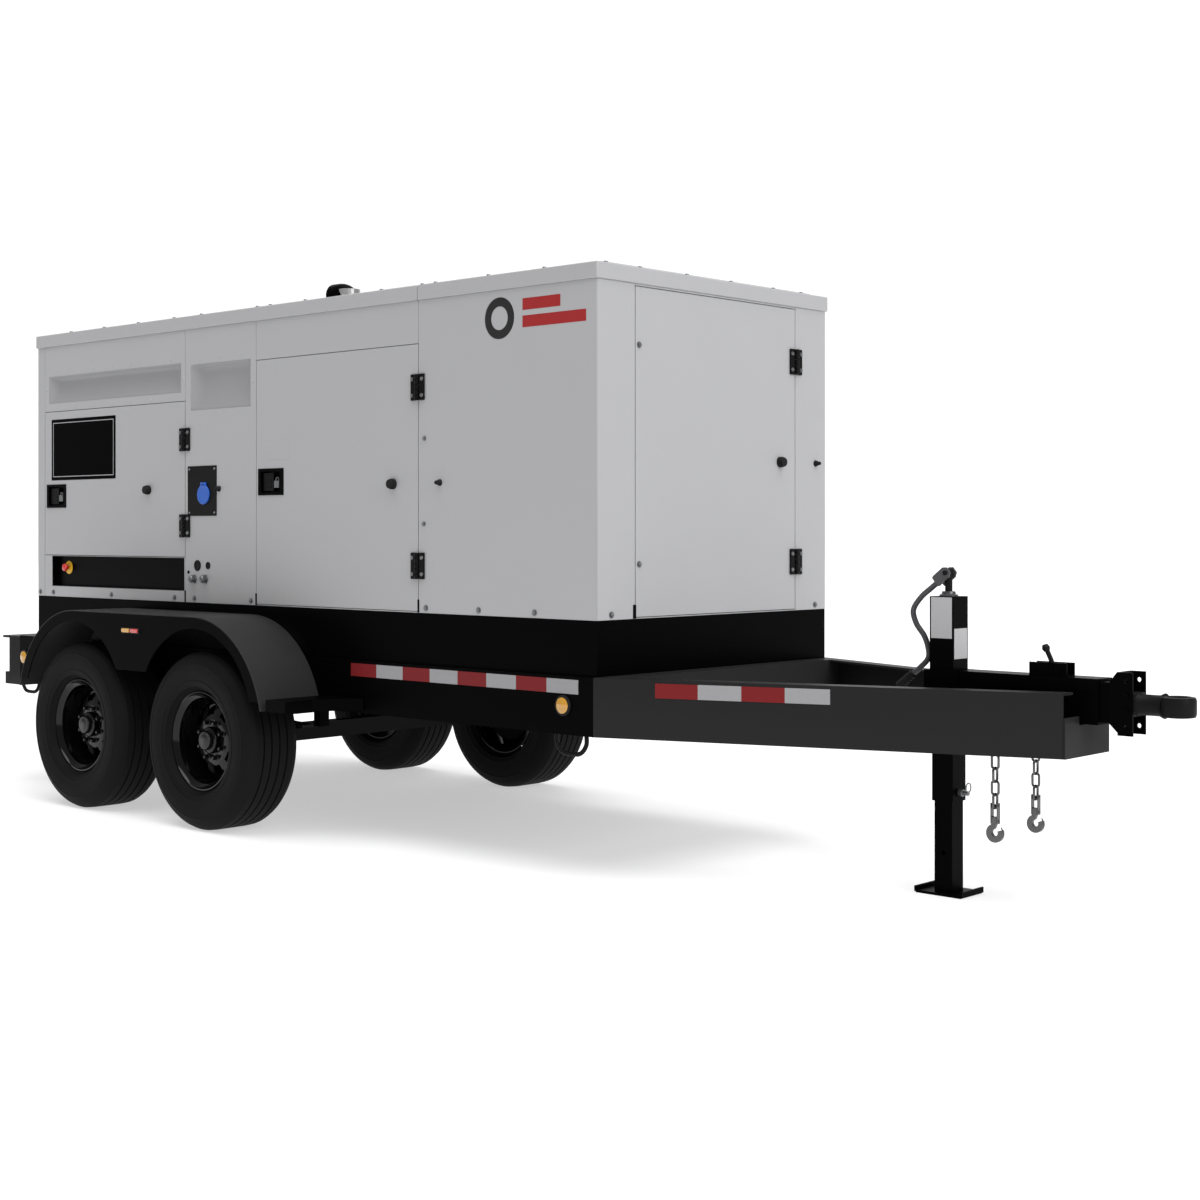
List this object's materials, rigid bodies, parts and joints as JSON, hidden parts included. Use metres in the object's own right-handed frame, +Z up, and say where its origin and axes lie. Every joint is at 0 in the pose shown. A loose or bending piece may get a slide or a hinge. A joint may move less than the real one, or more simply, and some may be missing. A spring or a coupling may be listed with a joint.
{
  "type": "towable diesel generator",
  "caption": "Sound-proofed diesel generating set in a pale box enclosure on a black tank base and tandem-axle trailer with an A-frame tongue, screw jack and eye coupler.",
  "frame": {"origin": "on the ground, under the middle of the whole outline", "axes": "+X towards the hitch, +Y to the left side, +Z up"},
  "size_m": [6.3456, 2.172, 2.44],
  "materials": {
    "white_enamel": "pale grey-white powder coat, fine texture",
    "black_enamel": "satin black powder coat",
    "tyre_rubber": "dull black ribbed rubber",
    "rim_black": "gloss black enamel",
    "zinc_steel": "zinc-plated steel",
    "engine_grey": "painted casting",
    "black_plastic": "moulded black plastic",
    "stop_red": "red push button",
    "inlet_blue": "blue power inlet",
    "reflective": "red and white reflective tape",
    "lamp_amber": "amber lamp lens"
  },
  "bodies": {
    "trailer": {"frame_rail_right": "black_enamel", "frame_rail_left": "black_enamel", "rear_crossmember": "black_enamel", "middle_crossmember": "black_enamel", "front_crossmember": "black_enamel", "tongue_beam_right": "black_enamel", "tongue_beam_left": "black_enamel", "nose_plate": "black_enamel", "coupler_housing": "black_enamel", "fender_right": "black_enamel", "fender_step_right": "black_enamel", "fender_left": "black_enamel", "fender_step_left": "black_enamel", "rear_bumper": "black_enamel", "axle_front": "black_enamel", "leaf_spring_front_right": "black_enamel", "leaf_spring_front_left": "black_enamel", "axle_rear": "black_enamel", "leaf_spring_rear_right": "black_enamel", "leaf_spring_rear_left": "black_enamel", "jack_outer_tube": "black_enamel", "tank_base": "black_enamel", "enclosure_walls": "white_enamel", "roof_rear": "white_enamel", "roof_front": "white_enamel", "engine": "engine_grey", "alternator": "engine_grey", "radiator": "black_plastic", "battery": "black_plastic", "silencer": "zinc_steel", "control_panel": "black_plastic", "inlet_socket": "inlet_blue"},
    "wheel_front_right": {"tyre_front_right": "tyre_rubber", "rim_front_right": "rim_black"},
    "wheel_front_left": {"tyre_front_left": "tyre_rubber", "rim_front_left": "rim_black"},
    "wheel_rear_right": {"tyre_rear_right": "tyre_rubber", "rim_rear_right": "rim_black"},
    "wheel_rear_left": {"tyre_rear_left": "tyre_rubber", "rim_rear_left": "rim_black"},
    "jack_screw": {"jack_screw_tube": "black_enamel"},
    "jack_leg": {"jack_drop_leg": "black_enamel"},
    "jack_pin": {"jack_plunger_pin": "zinc_steel"},
    "crank_head": {"jack_crank_head": "black_enamel"},
    "crank_handle": {"jack_crank_handle": "zinc_steel"},
    "coupler": {"coupler_slide": "black_enamel", "eye_coupler": "black_enamel"},
    "breakaway_lever": {"breakaway_lever": "black_enamel"},
    "safety_chain_right": {"safety_chain_right": "zinc_steel"},
    "safety_chain_left": {"safety_chain_left": "zinc_steel"},
    "control_door": {"control_door": "white_enamel"},
    "service_door_right": {"service_door_right": "white_enamel"},
    "service_door_left": {"service_door_left": "white_enamel"},
    "front_door": {"front_door": "white_enamel"},
    "latch_control": {"latch_control": "black_plastic"},
    "latch_service_right": {"latch_service_right": "black_plastic"},
    "latch_service_left": {"latch_service_left": "black_plastic"},
    "cooling_fan": {"cooling_fan": "black_plastic"},
    "emergency_stop": {"emergency_stop": "stop_red"},
    "inlet_cap": {"inlet_cap": "inlet_blue"}
  },
  "joints": [
    {"name": "wheel_front_right_spin", "type": "hinge", "parent": "trailer", "child": "wheel_front_right", "pos_m": [-0.96, -0.934, 0.397], "axis": [0, 1, 0], "continuous": true},
    {"name": "wheel_front_left_spin", "type": "hinge", "parent": "trailer", "child": "wheel_front_left", "pos_m": [-0.96, 0.934, 0.397], "axis": [0, 1, 0], "continuous": true},
    {"name": "wheel_rear_right_spin", "type": "hinge", "parent": "trailer", "child": "wheel_rear_right", "pos_m": [-1.945, -0.934, 0.397], "axis": [0, 1, 0], "continuous": true},
    {"name": "wheel_rear_left_spin", "type": "hinge", "parent": "trailer", "child": "wheel_rear_left", "pos_m": [-1.945, 0.934, 0.397], "axis": [0, 1, 0], "continuous": true},
    {"name": "jack_screw_lift", "type": "slide", "parent": "trailer", "child": "jack_screw", "axis": [0, 0, 1], "range_m": [-0.05, 0.15]},
    {"name": "jack_leg_drop", "type": "slide", "parent": "jack_screw", "child": "jack_leg", "axis": [0, 0, 1], "range_m": [0, 0.13]},
    {"name": "jack_pin_pull", "type": "slide", "parent": "jack_screw", "child": "jack_pin", "axis": [1, 0, 0], "range_m": [0, 0.02], "stiffness_N_per_m": 600},
    {"name": "crank_turn", "type": "hinge", "parent": "trailer", "child": "crank_head", "pos_m": [2.228, 0, 1.1], "axis": [0, 0, 1], "range_deg": [-100, 100]},
    {"name": "crank_unfold", "type": "hinge", "parent": "crank_head", "child": "crank_handle", "pos_m": [2.228, 0, 1.176], "axis": [0, 1, 0], "range_deg": [0, 100]},
    {"name": "coupler_surge", "type": "slide", "parent": "trailer", "child": "coupler", "axis": [1, 0, 0], "range_m": [-0.035, 0], "stiffness_N_per_m": 20000},
    {"name": "breakaway_pull", "type": "hinge", "parent": "trailer", "child": "breakaway_lever", "pos_m": [2.656, 0, 0.85], "axis": [0, 1, 0], "range_deg": [0, 60]},
    {"name": "chain_swing_right", "type": "hinge", "parent": "trailer", "child": "safety_chain_right", "pos_m": [2.505, -0.142, 0.548], "axis": [0, 1, 0], "range_deg": [-60, 60]},
    {"name": "chain_swing_left", "type": "hinge", "parent": "trailer", "child": "safety_chain_left", "pos_m": [2.505, 0.142, 0.548], "axis": [0, 1, 0], "range_deg": [-60, 60]},
    {"name": "control_door_open", "type": "hinge", "parent": "trailer", "child": "control_door", "pos_m": [-1.527, -0.7475, 1.56], "axis": [0, 0, 1], "range_deg": [0, 165]},
    {"name": "service_door_right_open", "type": "hinge", "parent": "trailer", "child": "service_door_right", "pos_m": [0.137, -0.7475, 1.54], "axis": [0, 0, 1], "range_deg": [0, 165]},
    {"name": "service_door_left_open", "type": "hinge", "parent": "trailer", "child": "service_door_left", "pos_m": [0.137, 0.7475, 1.54], "axis": [0, 0, -1], "range_deg": [0, 165]},
    {"name": "front_door_open", "type": "hinge", "parent": "trailer", "child": "front_door", "pos_m": [1.159, 0.516, 1.6], "axis": [0, 0, 1], "range_deg": [0, 165]},
    {"name": "latch_control_lift", "type": "hinge", "parent": "control_door", "child": "latch_control", "pos_m": [-2.673, -0.7275, 1.55], "axis": [-1, 0, 0], "range_deg": [0, 40], "stiffness_Nm_per_rad": 0.6},
    {"name": "latch_service_right_lift", "type": "hinge", "parent": "service_door_right", "child": "latch_service_right", "pos_m": [-0.86, -0.7275, 1.592], "axis": [-1, 0, 0], "range_deg": [0, 40], "stiffness_Nm_per_rad": 0.6},
    {"name": "latch_service_left_lift", "type": "hinge", "parent": "service_door_left", "child": "latch_service_left", "pos_m": [-0.86, 0.7275, 1.592], "axis": [1, 0, 0], "range_deg": [0, 40], "stiffness_Nm_per_rad": 0.6},
    {"name": "fan_spin", "type": "hinge", "parent": "trailer", "child": "cooling_fan", "pos_m": [0.285, 0, 1.45], "axis": [1, 0, 0], "continuous": true},
    {"name": "stop_push", "type": "slide", "parent": "trailer", "child": "emergency_stop", "axis": [0, 1, 0], "range_m": [0, 0.005], "stiffness_N_per_m": 900},
    {"name": "inlet_cap_flip", "type": "hinge", "parent": "trailer", "child": "inlet_cap", "pos_m": [-1.37, -0.7425, 1.555], "axis": [-1, 0, 0], "range_deg": [0, 170], "stiffness_Nm_per_rad": 0.08}
  ]
}
